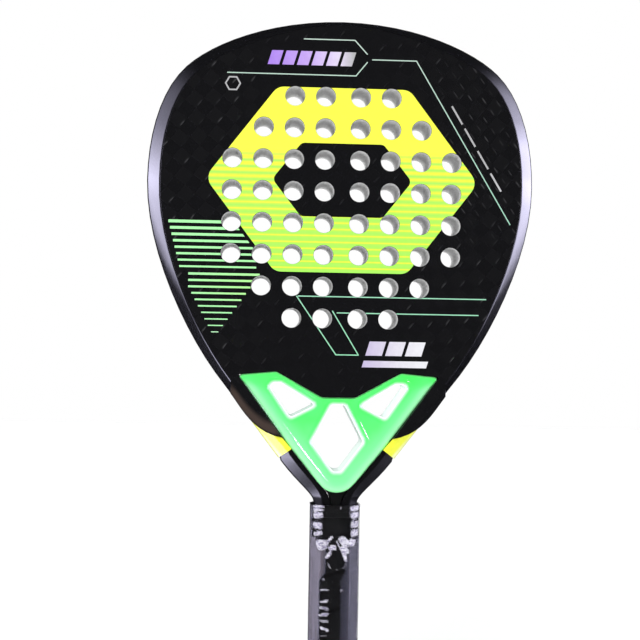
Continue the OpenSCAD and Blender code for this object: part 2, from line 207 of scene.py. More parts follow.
# %% World: white surroundings, a dark front and a soft box on each side
# How bright the side boxes are at each height, from 0 straight below the racket to 1 straight above it.
BOX_BY_HEIGHT = [
    (0.07, 0.0), (0.11, 0.42), (0.2, 0.55), (0.25, 0.4), (0.3, 0.06), (0.345, 0.28), (0.38, 0.5),
    (0.42, 0.56), (0.47, 0.66), (0.52, 0.78), (0.55, 0.95), (0.565, 1.0), (0.585, 0.85), (0.62, 0.55),
    (0.66, 0.32), (0.7, 0.19), (0.757, 0.13), (0.853, 0.04), (0.93, 0.0),
]
DARK_FRONT = (0.012, 0.012, 0.014)
BRIGHT_BOX = (12.2, 11.8, 15.6)
GLOW_BELOW, GLOW_ABOVE = 0.8, 1.22
LEFT_OFFSET = 0.065


def side_boxes(tree, x, y, height):
    """How brightly the soft boxes shine from a direction, 0 where there is none."""
    # The camera stands a little to the left, so the right box has to reach further back.
    back = scaled(tree, x, -LEFT_OFFSET, y)
    width = times(tree, between(tree, maths(tree, "ABSOLUTE", x), 0.5, 0.82), between(tree, back, 0.34, 0.19),
                  between(tree, y, -0.4, -0.1))
    # The left box is even. The right one is nearly out low down, and twice as bright high up.
    low = between(tree, height, 0.34, 0.28)
    high = between(tree, height, 0.58, 0.66)
    right = maths(tree, "ADD", scaled(tree, low, -0.86, 0.9), high)
    right = times(tree, right, between(tree, x, -0.3, 0.3))
    power = maths(tree, "MAXIMUM", between(tree, x, 0.3, -0.3), right)
    return times(tree, ramp(tree, height, BOX_BY_HEIGHT), width, power)


def build_world():
    world = bpy.data.worlds.new("studio")
    bpy.context.scene.world = world
    world.use_nodes = True
    world.cycles.sampling_method = "NONE"
    tree = world.node_tree
    tree.nodes.clear()
    x, y, z = split(tree, tree.nodes.new("ShaderNodeTexCoord").outputs["Generated"])
    height = scaled(tree, z, 0.5, 0.5)
    reflected = tree.nodes.new("ShaderNodeBackground")
    feed(tree, reflected.inputs[0], blend(tree, side_boxes(tree, x, y, height), DARK_FRONT, BRIGHT_BOX))
    matt = tree.nodes.new("ShaderNodeBackground")
    feed(tree, matt.inputs[0], ramp(tree, height, [(0.0, GLOW_BELOW), (1.0, GLOW_ABOVE)]))
    seen = tree.nodes.new("ShaderNodeBackground")
    seen.inputs[0].default_value = (1.0, 1.0, 1.0, 1)
    rays = tree.nodes.new("ShaderNodeLightPath").outputs
    shown = seen.outputs[0]
    for ray, light in (("Is Glossy Ray", reflected), ("Is Diffuse Ray", matt)):
        mix = tree.nodes.new("ShaderNodeMixShader")
        feed(tree, mix.inputs[0], rays[ray])
        feed(tree, mix.inputs[1], shown)
        feed(tree, mix.inputs[2], light.outputs[0])
        shown = mix.outputs[0]
    feed(tree, tree.nodes.new("ShaderNodeOutputWorld").inputs[0], shown)


build_world()
bpy.context.scene.view_settings.view_transform = "Standard"
print("world nodes:", len(bpy.context.scene.world.node_tree.nodes))

# %% [markdown]
# ## Lamps and floor
# The world alone lights everything evenly, so a broad key lamp from the upper left gives the matt and
# painted parts their form. It is left out of reflections, where it would show as a bright square. A
# second, narrow lamp does the opposite: it is there for one reflection on the bridge, and light linking
# keeps it off every other piece. The floor is pale and isn't reflected.


# %% Lamps
def area_light(name, place, target, size, power):
    data = bpy.data.lights.new(name, "AREA")
    data.size = size
    data.energy = power
    lamp = bpy.data.objects.new(name, data)
    bpy.context.scene.collection.objects.link(lamp)
    lamp.location = place
    lamp.rotation_euler = (Vector(target) - Vector(place)).to_track_quat("-Z", "Y").to_euler()
    lamp.visible_glossy = False
    return lamp


KEY_PLACE, KEY_TARGET = (-0.7, -1.1, 1.2), (0, 0, 0.25)
KEY_SIZE, KEY_WATTS = 0.9, 7
GLINT_PLACE, GLINT_TARGET = (-0.09, -0.985, -0.135), (-0.017, -0.018, 0.152)
GLINT_WIDTH, GLINT_LENGTH, GLINT_WATTS = 0.06, 0.14, 1.6
GLINT_TURN = math.radians(-53)
key = area_light("key", KEY_PLACE, KEY_TARGET, KEY_SIZE, KEY_WATTS)
glint = area_light("glint", GLINT_PLACE, GLINT_TARGET, GLINT_WIDTH, GLINT_WATTS)
glint.data.shape = "RECTANGLE"
glint.data.size_y = GLINT_LENGTH
glint.rotation_mode = "QUATERNION"
glint.rotation_quaternion = glint.rotation_euler.to_quaternion() @ Quaternion((0, 0, 1), GLINT_TURN)
glint.visible_glossy = True
print("lights:", key.data.energy, glint.data.energy, "W")

# %% Pale floor
FLOOR_SIZE, FLOOR_GAP = 6, 0.0005
bpy.ops.object.select_all(action="DESELECT")
bpy.ops.mesh.primitive_plane_add(size=FLOOR_SIZE, location=(0, 0, -FLOOR_GAP))
floor = bpy.context.object
floor.name = "floor"
floor.visible_glossy = False
floor.visible_shadow = False
floor_paint = bpy.data.materials.new("pale_floor")
floor_paint.use_nodes = True
floor_shader = floor_paint.node_tree.nodes["Principled BSDF"]
floor_shader.inputs["Base Color"].default_value = (0.93, 0.93, 0.93, 1)
floor_shader.inputs["Roughness"].default_value = 0.7
floor_shader.inputs["Specular IOR Level"].default_value = 0.1
floor.data.materials.append(floor_paint)
print("floor size in m:", list(floor.dimensions))

# %% [markdown]
# ## Materials
# Each finish starts from one Principled shader. What makes it look real is what varies over it: a weave
# under the lacquer, the slight orange peel of sprayed paint, foam cells, stripes in the ink. All of it is
# computed from the place on the racket in metres, so it keeps its true scale.


# %% A material to start from
def finish(name, base, roughness, coat=0.0, coat_roughness=0.03, specular=0.5):
    """A new material: (material, node tree, Principled shader, object coordinates)."""
    material = bpy.data.materials.new(name)
    material.use_nodes = True
    tree = material.node_tree
    shader = tree.nodes["Principled BSDF"]
    feed(tree, shader.inputs["Base Color"], base)
    feed(tree, shader.inputs["Roughness"], roughness)
    shader.inputs["Coat Weight"].default_value = coat
    shader.inputs["Coat Roughness"].default_value = coat_roughness
    shader.inputs["Specular IOR Level"].default_value = specular
    place = tree.nodes.new("ShaderNodeTexCoord").outputs["Object"]
    return material, tree, shader, place


def orange_peel(tree, shader, place, depth=0.00002):
    """The faint waviness of a sprayed coat, felt only in its reflections."""
    peel = bump_of(tree, noise_of(tree, place, 260, 1.0), depth)
    feed(tree, shader.inputs["Coat Normal"], peel)
    return peel


# %% [markdown]
# ### Lacquered carbon frame
# The frame is carbon laid up around an air bladder, filled, sprayed black and lacquered. Close up it is a
# deep black with fine orange peel and a few polishing marks. A clear coat over a slightly rough black base
# gives both the sharp and the soft part of the reflection.


# %% Frame lacquer
FRAME_BLACK, MARK_GREY = (0.005, 0.005, 0.006), (0.016, 0.016, 0.018)
LACQUER_FROM, LACQUER_TO = 0.1315, 0.1335


def make_frame_lacquer():
    material, tree, shader, place = finish("frame_lacquer", FRAME_BLACK, 0.3, coat=1.0, specular=0.08)
    orange_peel(tree, shader, place)
    smudge = noise_of(tree, place, 45, 4.0, 0.6)
    feed(tree, shader.inputs["Roughness"], ramp(tree, smudge, [(0.35, 0.24), (0.7, 0.4)]))
    x, y, z = split(tree, place)
    marks = noise_of(tree, joined(tree, times(tree, x, 4.0), y, times(tree, z, 0.3)), 900, 2.0)
    black = blend(tree, between(tree, marks, 0.66, 0.78), FRAME_BLACK, MARK_GREY)
    feed(tree, shader.inputs["Base Color"], black)
    # The lacquer stops where the handle begins, because that end is masked before spraying.
    feed(tree, shader.inputs["Coat Weight"], between(tree, z, LACQUER_FROM, LACQUER_TO))
    return material


FRAME_LACQUER = make_frame_lacquer()

# %% [markdown]
# ### Coarse woven carbon under lacquer
# The face skin is a plain weave of wide flat tows at about 50 degrees to the handle. Through the lacquer
# only the edge of a tow catches the light now and then, as a short slanted dash; these dashes, and a faint
# sheen on the upper tows, are painted highlights in the base colour. The weave's bump is made from two
# crossed sets of rounded tows, a chequer says which set lies on top, and the lacquer stays smooth.

# %% The weave
TOW = 0.0088
LEAN = math.radians(52)
TOW_BLACK, PAINTED_SHEEN_BLACK, TOW_GLINT_GREY = (0.006, 0.006, 0.007), (0.013, 0.013, 0.014), (0.045, 0.045, 0.048)


def count_tows(tree, x, z, angle, width):
    """How many tows lie between the origin and this place, counted in the direction `angle`."""
    return maths(tree, "ADD", times(tree, x, math.cos(angle) / width),
                 times(tree, z, math.sin(angle) / width))


def crown(tree, along):
    """The rounded section of a tow, 1 in its middle and 0 at its edges."""
    off = scaled(tree, along, 2.0, -1.0)
    return maths(tree, "SUBTRACT", 1.0, times(tree, off, off))


def some_of(tree, first, second, row, low, high):
    """Picks out some cells of the weave and passes over the rest."""
    return between(tree, noise_of(tree, joined(tree, first, second, row), 1.0, 1.0), low, high)


# %% [markdown]
# Each dash is a painted highlight, put where a tow's edge would face a side box. On the left and in the
# middle that is one set of tows, on the upper right it is the other set, and in the middle of the face hardly
# any dash is lit.


# %% Painted dashes in the weave
STEEP = math.radians(36)
STEEP_TOW = TOW / 1.3
# How strongly the painted dashes and the painted sheen are lit across the racket, from the left rim to the
# right one.
LIT_ACROSS = [(0.05, 0.9), (0.22, 1.0), (0.36, 0.25), (0.55, 0.18), (0.72, 0.7), (0.95, 1.0)]


def painted_tow_glints(tree, x, z, u, v, over, lit):
    """Where a painted highlight marks a tow's edge, from the tow counts u and v and the chequer `over`."""
    cell_u, cell_v = maths(tree, "FLOOR", u), maths(tree, "FLOOR", v)
    in_u, in_v = maths(tree, "FRACT", u), maths(tree, "FRACT", v)
    edge = times(tree, between(tree, in_v, 0.84, 0.97), between(tree, in_u, 0.15, 0.4),
                 between(tree, in_u, 0.8, 0.55))
    patchy = some_of(tree, times(tree, cell_u, 0.37), times(tree, cell_v, 0.61), 3.0, 0.44, 0.62)
    dash = times(tree, edge, over, patchy, lit)
    across = count_tows(tree, x, z, STEEP, STEEP_TOW)
    other = times(tree, between(tree, maths(tree, "FRACT", across), 0.82, 0.97),
                  between(tree, in_v, 0.2, 0.45), between(tree, in_v, 0.85, 0.6))
    upper_right = times(tree, between(tree, x, 0.06, 0.09), between(tree, z, 0.29, 0.33))
    hit = some_of(tree, times(tree, cell_v, 0.53), maths(tree, "FLOOR", across), 5.0, 0.42, 0.62)
    return maths(tree, "MAXIMUM", times(tree, dash, scaled(tree, upper_right, -0.7, 1.0)),
                 times(tree, other, upper_right, hit))


# %% [markdown]
# Over the two lips at the throat the skin rolls down towards its edge, and on the left lip a brownish painted
# reflection is laid over the roll.
# The edge of a lip is a parabola, so its height at any place is worked out from the distance to its tip.


# %% Roll of the lips
LIP_TIP, LIP_EDGE_Z, LIP_BEND = 0.0368, 0.1722, 23.5
LIP_BROWN_REFLECTION = (0.058, 0.04, 0.034)


def lip_roll(tree, x, z):
    """How far the lip has rolled down, and how strong the painted brown reflection on the left lip is there.
    """
    along = maths(tree, "SUBTRACT", maths(tree, "ABSOLUTE", x), LIP_TIP)
    edge_z = scaled(tree, times(tree, along, along), LIP_BEND, LIP_EDGE_Z)
    inside = times(tree, maths(tree, "SUBTRACT", z, edge_z), 0.8)
    on_lip = times(tree, between(tree, z, 0.21, 0.2), between(tree, along, 0.0, 0.006))
    # Painted reflection: brown only on the left lip, near its edge.
    brown_reflection = times(tree, between(tree, inside, 0.0085, 0.004), on_lip, between(tree, inside, 0.0004, 0.0022),
                  between(tree, x, 0.0, -0.01))
    return times(tree, between(tree, inside, 0.0, 0.006), on_lip), brown_reflection


# %% Woven skin
def make_woven_skin():
    material, tree, shader, place = finish("woven_carbon", TOW_BLACK, 0.32, coat=1.0, coat_roughness=0.02,
                                           specular=0.08)
    x, _, z = split(tree, place)
    waver = scaled(tree, noise_of(tree, place, 60, 1.0), 0.0016, -0.0008)
    u = count_tows(tree, x, z, LEAN, TOW)
    v = maths(tree, "ADD", count_tows(tree, x, z, LEAN - math.pi / 2, TOW), times(tree, waver, 1 / TOW))
    over = maths(tree, "PINGPONG", maths(tree, "ADD", maths(tree, "FLOOR", u), maths(tree, "FLOOR", v)), 1.0)
    under = maths(tree, "SUBTRACT", 1.0, over)
    height = maths(tree, "ADD", times(tree, crown(tree, maths(tree, "FRACT", v)), over),
                   times(tree, crown(tree, maths(tree, "FRACT", u)), under))
    fibres = noise_of(tree, joined(tree, times(tree, u, 0.4), times(tree, v, 14.0), 0.0), 1.0, 3.0, 0.7)
    height = maths(tree, "ADD", height, times(tree, fibres, 0.2))
    feed(tree, shader.inputs["Normal"], bump_of(tree, height, 0.0004, 0.5))
    lit = ramp(tree, scaled(tree, x, 3.7, 0.5), LIT_ACROSS)
    rolled, brown_reflection = lip_roll(tree, x, z)
    # Painted sheen on the upper tows and painted highlights on the tow edges are mixed into the black.
    black = blend(tree, times(tree, over, lit, 0.2), TOW_BLACK, PAINTED_SHEEN_BLACK)
    black = blend(tree, painted_tow_glints(tree, x, z, u, v, over, lit), black, TOW_GLINT_GREY)
    feed(tree, shader.inputs["Base Color"], blend(tree, brown_reflection, black, LIP_BROWN_REFLECTION))
    peel = orange_peel(tree, shader, place, 0.00001)
    feed(tree, shader.inputs["Coat Normal"], bump_of(tree, rolled, 0.0018, 1.0, peel))
    return material


WOVEN_SKIN = make_woven_skin()


# %% [markdown]
# ### Foam
# The core is closed-cell EVA foam. Drilled, it shows tiny cut cells on a soft grey-white wall. A fine
# noise in the bump and a little of it in the colour are enough at this scale.


# %% Foam
def make_foam(name, colour):
    material, tree, shader, place = finish(name, colour, 0.85, specular=0.2)
    cells = tree.nodes.new("ShaderNodeTexVoronoi")
    feed(tree, cells.inputs["Vector"], place)
    cells.inputs["Scale"].default_value = 1400
    speckle = noise_of(tree, place, 900, 2.0)
    darker = tuple(c * 0.8 for c in colour)
    feed(tree, shader.inputs["Base Color"], blend(tree, between(tree, speckle, 0.35, 0.65), darker, colour))
    feed(tree, shader.inputs["Normal"], bump_of(tree, cells.outputs["Distance"], 0.00025, 0.8))
    return material


FOAM = make_foam("eva_foam_cut", (0.9, 0.9, 0.9))
BRIDGE_FOAM = make_foam("foam_filler", (0.5, 0.5, 0.48))

# %% [markdown]
# ### Painted plastic and inks
# The bridge and the two bands are sprayed in fluorescent paint, the graphics are screen-printed ink under
# the lacquer. Ink is never quite even: its density wanders a few per cent, and its surface is smoother
# than the weave.


# %% Inks
def make_ink(name, colour_of, gloss=0.25):
    """colour_of(tree, place) gives the ink's colour; its density wanders by a few per cent."""
    material, tree, shader, place = finish(name, (0.8, 0.8, 0.8), gloss, coat=0.6, specular=0.3)
    colour = colour_of(tree, place)
    density = noise_of(tree, place, 320, 3.0, 0.6)
    thin = blend(tree, 0.06, colour, (0.0, 0.0, 0.0))
    feed(tree, shader.inputs["Base Color"], blend(tree, between(tree, density, 0.35, 0.7), thin, colour))
    feed(tree, shader.inputs["Normal"], bump_of(tree, density, 0.00002, 0.4))
    return material


# %% [markdown]
# The colours of the print run with the height or the width of the racket, so each ink reads a ramp along
# one axis. The emblem goes from yellow to green and is crossed by fine lines in its lower part, where a
# sine of the height says how near each place is to the middle of a line.


# %% Colours of the print
STRIPE = 0.0043
STRIPES_FROM, STRIPES_FULL = 0.3655, 0.3535


def emblem_colour(tree, place):
    _, _, z = split(tree, place)
    stripe = scaled(tree, maths(tree, "SINE", times(tree, z, 2 * math.pi / STRIPE)), 0.5, 0.5)
    shown = between(tree, z, STRIPES_FROM, STRIPES_FULL)
    body = ramp(tree, scaled(tree, z, 8.0, -2.25),
                [(0.04, (0.4, 0.98, 0.1)), (0.3, (0.5, 0.97, 0.1)), (0.52, (0.68, 0.96, 0.08)),
                 (0.64, (0.87, 0.98, 0.075)), (0.8, (0.95, 1.0, 0.07))])
    green = blend(tree, times(tree, between(tree, stripe, 0.5, 0.0), shown), body, (0.4, 0.97, 0.12))
    line = times(tree, between(tree, stripe, 0.72, 0.98), shown, 0.75)
    return blend(tree, line, green, (0.93, 0.94, 0.05))


def bar_colour(tree, place):
    x, _, z = split(tree, place)
    mint = ramp(tree, scaled(tree, z, 12.0, -2.8),
                [(0.0, (0.75, 0.95, 0.8)), (0.14, (0.4, 0.88, 0.42)), (0.55, (0.4, 0.9, 0.4)),
                 (1.0, (0.4, 0.92, 0.4))])
    middle = ramp(tree, times(tree, maths(tree, "ABSOLUTE", x), 10.0), [(0.5, 0.75), (0.8, 0.35), (1.0, 0.0)])
    low = times(tree, between(tree, z, 0.285, 0.275), between(tree, z, 0.256, 0.266))
    return blend(tree, times(tree, middle, low, 0.6), mint, (0.5, 0.9, 0.14))


def line_colour(tree, place):
    _, _, z = split(tree, place)
    return ramp(tree, scaled(tree, z, 4.5, -1.0),
                [(0.0, (0.3, 0.72, 0.45)), (0.4, (0.36, 0.68, 0.52)), (1.0, (0.5, 0.62, 0.55))])


def label_colour(tree, place):
    x, _, z = split(tree, place)
    # The small badge left of the upper row is grey, so it reads the row's colours from their grey end.
    x = maths(tree, "ADD", x, times(tree, between(tree, x, -0.062, -0.066), 0.12))
    top = ramp(tree, scaled(tree, x, 16.0, 0.85),
               [(0.0, (0.36, 0.2, 0.75)), (0.45, (0.5, 0.34, 0.78)), (0.8, (0.7, 0.62, 0.8)),
                (0.95, (0.42, 0.42, 0.43))])
    low = ramp(tree, scaled(tree, x, 22.0, -0.25),
               [(0.0, (0.5, 0.42, 0.66)), (0.6, (0.7, 0.67, 0.76)), (1.0, (0.78, 0.78, 0.82))])
    return blend(tree, between(tree, z, 0.3, 0.36), low, top)


# %% [markdown]
# The yellow on the arms is strong on their front flats, and over their outer chamfers a painted white
# reflection of the side boxes is laid over it. Which side of the chamfer's edge a place lies on is told by
# its distance along the arm's normal.


# %% Yellow of the bands
ARM_NORMAL_X, ARM_NORMAL_Z = 0.745, 0.667
CHAMFER_GLARE_FROM, CHAMFER_GLARE_TO = -0.0805, -0.0763
FLAT_DEPTH, CHAMFER_DEPTH = 0.008, 0.011


def band_colour(tree, place):
    x, y, z = split(tree, place)
    out = maths(tree, "SUBTRACT", times(tree, maths(tree, "ABSOLUTE", x), ARM_NORMAL_X),
                times(tree, z, ARM_NORMAL_Z))
    yellow = ramp(tree, noise_of(tree, place, 30, 1.0), [(0.3, (0.97, 1.0, 0.06)), (0.7, (0.93, 1.0, 0.05))])
    # Painted reflection: the outer chamfers turn white.
    chamfer_glare = times(tree, between(tree, out, CHAMFER_GLARE_FROM, CHAMFER_GLARE_TO),
                    between(tree, maths(tree, "ABSOLUTE", y), FLAT_DEPTH, CHAMFER_DEPTH))
    return blend(tree, chamfer_glare, yellow, (1.0, 1.0, 0.9))


EMBLEM_INK = make_ink("emblem_ink", emblem_colour)
BAR_INK = make_ink("bar_ink", bar_colour)
LINE_INK = make_ink("line_ink", line_colour)
LABEL_INK = make_ink("label_ink", label_colour)
YELLOW_PAINT = make_ink("yellow_paint", band_colour)
print("materials so far:", sorted(m.name for m in bpy.data.materials))

# %% [markdown]
# ## Working on a CAD part
# A CAD part comes as loose triangles with fixed normals. A copy is merged into one surface, its flat
# faces are joined, and then it can be bevelled and shaded like anything modelled here. The original stays
# where it is, hidden, for the physics.


# %% Copy, merge and hand over
def only(piece):
    bpy.ops.object.select_all(action="DESELECT")
    piece.select_set(True)
    bpy.context.view_layer.objects.active = piece


def copy_part(node, name, flat=0.5):
    """A copy of a CAD part, merged, with faces that are flat to within `flat` degrees joined."""
    piece = nodes[node].copy()
    piece.data = nodes[node].data.copy()
    piece.name = piece.data.name = name
    piece.parent = None
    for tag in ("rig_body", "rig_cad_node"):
        del piece[tag]
    bpy.context.scene.collection.objects.link(piece)
    only(piece)
    bpy.ops.object.mode_set(mode="EDIT")
    bpy.ops.mesh.select_all(action="SELECT")
    bpy.ops.mesh.customdata_custom_splitnormals_clear()
    bpy.ops.mesh.remove_doubles(threshold=0.00001)
    if flat:
        bpy.ops.mesh.dissolve_limited(angle_limit=math.radians(flat))
    bpy.ops.object.mode_set(mode="OBJECT")
    return piece


def soften(piece, width, segments=2, angle=30, smooth=40):
    """Rounds every edge sharper than `angle` and shades the piece smooth up to `smooth` degrees."""
    only(piece)
    if width:
        bevel = piece.modifiers.new("edges", "BEVEL")
        bevel.width = width
        bevel.segments = segments
        bevel.limit_method = "ANGLE"
        bevel.angle_limit = math.radians(angle)
        bevel.miter_outer = "MITER_ARC"
        bpy.ops.object.modifier_apply(modifier=bevel.name)
    bpy.ops.object.shade_smooth_by_angle(angle=math.radians(smooth))
    weigh = piece.modifiers.new("flat_faces_first", "WEIGHTED_NORMAL")
    weigh.keep_sharp = True
    weigh.weight = 60
    bpy.ops.object.modifier_apply(modifier=weigh.name)


def hand_over(piece, slot, material, *stands_for):
    """The finished piece takes its material and stands for its CAD parts."""
    piece.data.materials.clear()
    piece.data.materials.append(material)
    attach(piece, "root")
    if stands_for:
        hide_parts(*stands_for)
    piece.data.calc_loop_triangles()
    print(piece.name, "triangles:", len(piece.data.loop_triangles))


def paint_part(node, material):
    """A CAD part whose shape is right keeps it and only gets a better material."""
    nodes[node].data.materials.clear()
    nodes[node].data.materials.append(material)
    print(node, "is finished in", material.name)


# %% [markdown]
# ## Frame
# The frame's section is a rounded octagon swept round the head, down both arms and into the handle. The
# shape is right already. What it lacks is continuous reflections, so its facets are merged and shaded
# smooth, with large faces weighing most so that the chamfers stay flat and their edges stay crisp.

# %% Frame
ARM_SMOOTH = 38          # degrees up to which the frame's facets are shaded as one surface
racket_frame = copy_part("frame_tube", "racket_frame", flat=0)
soften(racket_frame, 0, smooth=ARM_SMOOTH)
hand_over(racket_frame, "gloss_black", FRAME_LACQUER, "frame_tube")

# %% [markdown]
# ## Hitting face
# The two skins and the foam core are drilled through together. A drilled hole in lacquered carbon has a
# tiny chamfer from the deburring tool, which catches a thin ring of light. The same soft edge runs round
# the skin and over the two moulded lips at the throat.

# %% Skins and core
HOLE_CHAMFER = 0.00035
for side in ("front", "back"):
    skin = copy_part(f"face_{side}", f"skin_{side}")
    soften(skin, HOLE_CHAMFER, angle=50)
    hand_over(skin, "carbon_skin", WOVEN_SKIN, f"face_{side}")
foam_core = copy_part("core", "foam_core")
soften(foam_core, 0)
hand_over(foam_core, "eva_foam", FOAM, "core")

# %% [markdown]
# ## Printed graphics
# The prints are thin layers with the same holes as the skins. Their CAD shape is exact, so they are left
# as they are and only get their inks.

# %% Printed graphics
for node, ink in (("emblem", EMBLEM_INK), ("speed_bars", BAR_INK), ("outline_lines", LINE_INK)):
    paint_part(f"{node}_front", ink)
    paint_part(f"{node}_back", ink)
paint_part("label_bars_front", LABEL_INK)

# %% [markdown]
# ## Throat bridge
# The bridge is moulded plastic with three windows. It isn't a flat plate: it swells in the middle of each
# rib and rolls off softly into the windows and towards its rim. A bevel can't roll off that far without
# tangling at the small corners, so the block is remeshed evenly and every point is drawn in towards the
# middle plane by how near it is to a window or to the rim.

# %% Distances to the windows and to the rim
BRIDGE_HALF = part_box("throat_bridge")[1].y
FRONT_FROM = -0.014
SHORTEST_LOOP = 6


def front_loops(piece):
    """The closed loops of sharp edges round the front face, as arrays of segments, the largest first."""
    only(piece)
    mesh = bmesh.new()
    mesh.from_mesh(piece.data)
    left = {e for e in mesh.edges if len(e.link_faces) == 2 and e.calc_face_angle() > math.radians(60)
            and e.verts[0].co.y < FRONT_FROM and min(f.normal.y for f in e.link_faces) < -0.7}
    loops = []
    while left:
        todo = [left.pop()]
        loop = []
        while todo:
            edge = todo.pop()
            loop.append([(v.co.x, v.co.z) for v in edge.verts])
            near = [e for v in edge.verts for e in v.link_edges if e in left]
            left.difference_update(near)
            todo.extend(near)
        loops.append(np.array(loop))
    mesh.free()
    loops = [loop for loop in loops if len(loop) > SHORTEST_LOOP]
    loops.sort(key=lambda loop: -np.ptp(loop[:, :, 0]))
    return loops


def distance_to(loop, points):
    """Distance in the XZ plane from each point to the nearest segment of a loop."""
    best = np.full(len(points), 1.0)
    for a, b in loop:
        along = b - a
        t = np.clip((points - a) @ along / max(along @ along, 1e-12), 0, 1)
        best = np.minimum(best, np.linalg.norm(points - a - t[:, None] * along, axis=1))
    return best


def smooth_step(value, low, high):
    t = np.clip((value - low) / (high - low), 0, 1)
    return t * t * (3 - 2 * t)


def near(distance, full, none):
    """1 nearer than `full`, 0 further than `none`, and smooth between them."""
    return 1 - smooth_step(distance, full, none)


def coordinates(piece):
    flat = np.empty(len(piece.data.vertices) * 3)
    piece.data.vertices.foreach_get("co", flat)
    return flat.reshape(-1, 3)


def put_coordinates(piece, points):
    piece.data.vertices.foreach_set("co", points.ravel())
    piece.data.update()


def put_attribute(piece, name, values):
    attribute = piece.data.attributes.new(name, "FLOAT", "POINT")
    attribute.data.foreach_set("value", values.astype(np.float32))


# %% An even mesh for the bridge
BRIDGE_VOXEL = 0.0009
bridge = copy_part("throat_bridge", "bridge_moulding")
bridge_loops = front_loops(bridge)
print("loops round the bridge:", [len(loop) for loop in bridge_loops])
remesh = bridge.modifiers.new("even_mesh", "REMESH")
remesh.mode = "VOXEL"
remesh.voxel_size = BRIDGE_VOXEL
bpy.ops.object.modifier_apply(modifier=remesh.name)
relax = bridge.modifiers.new("relax", "SMOOTH")
relax.factor = 0.5
relax.iterations = 2
bpy.ops.object.modifier_apply(modifier=relax.name)
points = coordinates(bridge)
normals = np.empty(points.size)
bridge.data.vertices.foreach_get("normal", normals)
normals = normals.reshape(-1, 3)
flat_points = points[:, [0, 2]]
to_window = np.min([distance_to(loop, flat_points) for loop in bridge_loops[1:]], axis=0)
to_rim = distance_to(bridge_loops[0], flat_points)
print("bridge points:", len(points))

# %% [markdown]
# The roll-off is deepest at the windows. The upper rim, beside the skin, is crisp, and the two lower sides
# of the V roll off over 5 mm. What was measured here is also written on the mesh, as named values at each
# point, so that the painted highlights and glow in the paint can follow the shape.

# %% Shape the bridge
WINDOW_DEPTH, WINDOW_REACH = 0.0022, 0.0038
RIM_DEPTH, RIM_REACH = 0.0006, 0.0011
SIDE_DEPTH, SIDE_REACH = 0.0013, 0.0055
WING_TOP, WING_FOOT = 0.2115, 0.2035
SIDE_SLOPE, SIDE_HEIGHT, SIDE_BLEND = 0.62, 0.181, 0.012
RIM_GROWTH = 0.0004
below_wings = smooth_step(points[:, 2], WING_TOP, WING_FOOT)
outer_flanks = smooth_step(np.abs(points[:, 0]) * SIDE_SLOPE - points[:, 2] + SIDE_HEIGHT, 0.0, SIDE_BLEND)
lower_side = below_wings * outer_flanks
sunk = WINDOW_DEPTH * near(to_window, 0.0, WINDOW_REACH)
sunk += RIM_DEPTH * near(to_rim, 0.0, RIM_REACH)
sunk += SIDE_DEPTH * lower_side * near(to_rim, 0.0, SIDE_REACH)
points[:, 1] *= 1 - sunk / BRIDGE_HALF
# Relaxing shrank the rim a little. It goes back out until it meets the arms.
upright_part = near(np.abs(normals[:, 1]), 0.35, 0.75)
at_rim = upright_part * near(to_rim, 0.0015, 0.003)
points += normals * np.array((1, 0, 1)) * (at_rim * RIM_GROWTH)[:, None]
put_coordinates(bridge, points)
not_front = np.maximum(upright_part, smooth_step(points[:, 1], 0.0, 0.004))
put_attribute(bridge, "window_wall", not_front * near(to_window, 0.0015, 0.003))
put_attribute(bridge, "near_window", near(to_window, 0.0, 0.0024))
put_attribute(bridge, "outward", lower_side * near(to_rim, 0.003, 0.015))
put_attribute(bridge, "near_rim", near(to_rim, 0.0, 0.0009))
put_attribute(bridge, "lower_side", lower_side * near(to_rim, 0.0012, 0.0062))
only(bridge)
bpy.ops.object.shade_smooth()
print("deepest roll-off in mm:", round(float(sunk.max() / MM), 2))

# %% [markdown]
# ### Fluorescent paint
# Fluorescent paint turns ultraviolet into visible light, so it looks brighter than other paint. On top of the
# green, painted highlights and reflections turn it pale towards the windows, the rim and the lower sides,
# the walls of the windows get a painted white glow, and the green is paler towards the bottom of the bridge.


# %% Fluorescent green paint
def attribute_of(tree, name):
    node = tree.nodes.new("ShaderNodeAttribute")
    node.attribute_name = name
    return node.outputs["Fac"]


def make_green_paint():
    material, tree, shader, place = finish("fluorescent_green", (0.05, 1.0, 0.1), 0.45, coat=1.0,
                                           coat_roughness=0.1, specular=0.25)
    _, _, z = split(tree, place)
    body = ramp(tree, noise_of(tree, place, 40, 2.0), [(0.3, (0.055, 0.98, 0.105)), (0.7, (0.1, 1.0, 0.2))])
    wall = attribute_of(tree, "window_wall")
    # Painted highlight: white near the windows and on their walls.
    white = maths(tree, "MAXIMUM", times(tree, attribute_of(tree, "near_window"), 0.72), wall)
    # Painted reflections pale the green over the lower sides and along the rim; it is also paler towards the
    # bottom.
    for share, pale in (
        (times(tree, between(tree, z, 0.19, 0.15), 0.35), (0.3, 1.0, 0.42)),
        (times(tree, attribute_of(tree, "outward"), 0.7), (0.2, 1.0, 0.34)),
        (attribute_of(tree, "lower_side"), (0.34, 1.0, 0.46)),
        (times(tree, attribute_of(tree, "near_rim"), 0.7), (0.34, 1.0, 0.42)),
        (white, (0.93, 1.0, 0.97)),
    ):
        body = blend(tree, share, body, pale)
    feed(tree, shader.inputs["Base Color"], body)
    # Painted glow: the window walls are given emission.
    feed(tree, shader.inputs["Emission Color"], blend(tree, wall, (0.0, 0.0, 0.0), (0.9, 1.0, 0.95)))
    shader.inputs["Emission Strength"].default_value = 0.6
    orange_peel(tree, shader, place, 0.00003)
    return material


GREEN_PAINT = make_green_paint()
hand_over(bridge, "green_gloss", GREEN_PAINT, "throat_bridge")
lit_by_glint = bpy.data.collections.new("lit_by_glint")
lit_by_glint.objects.link(bridge)
glint.light_linking.receiver_collection = lit_by_glint

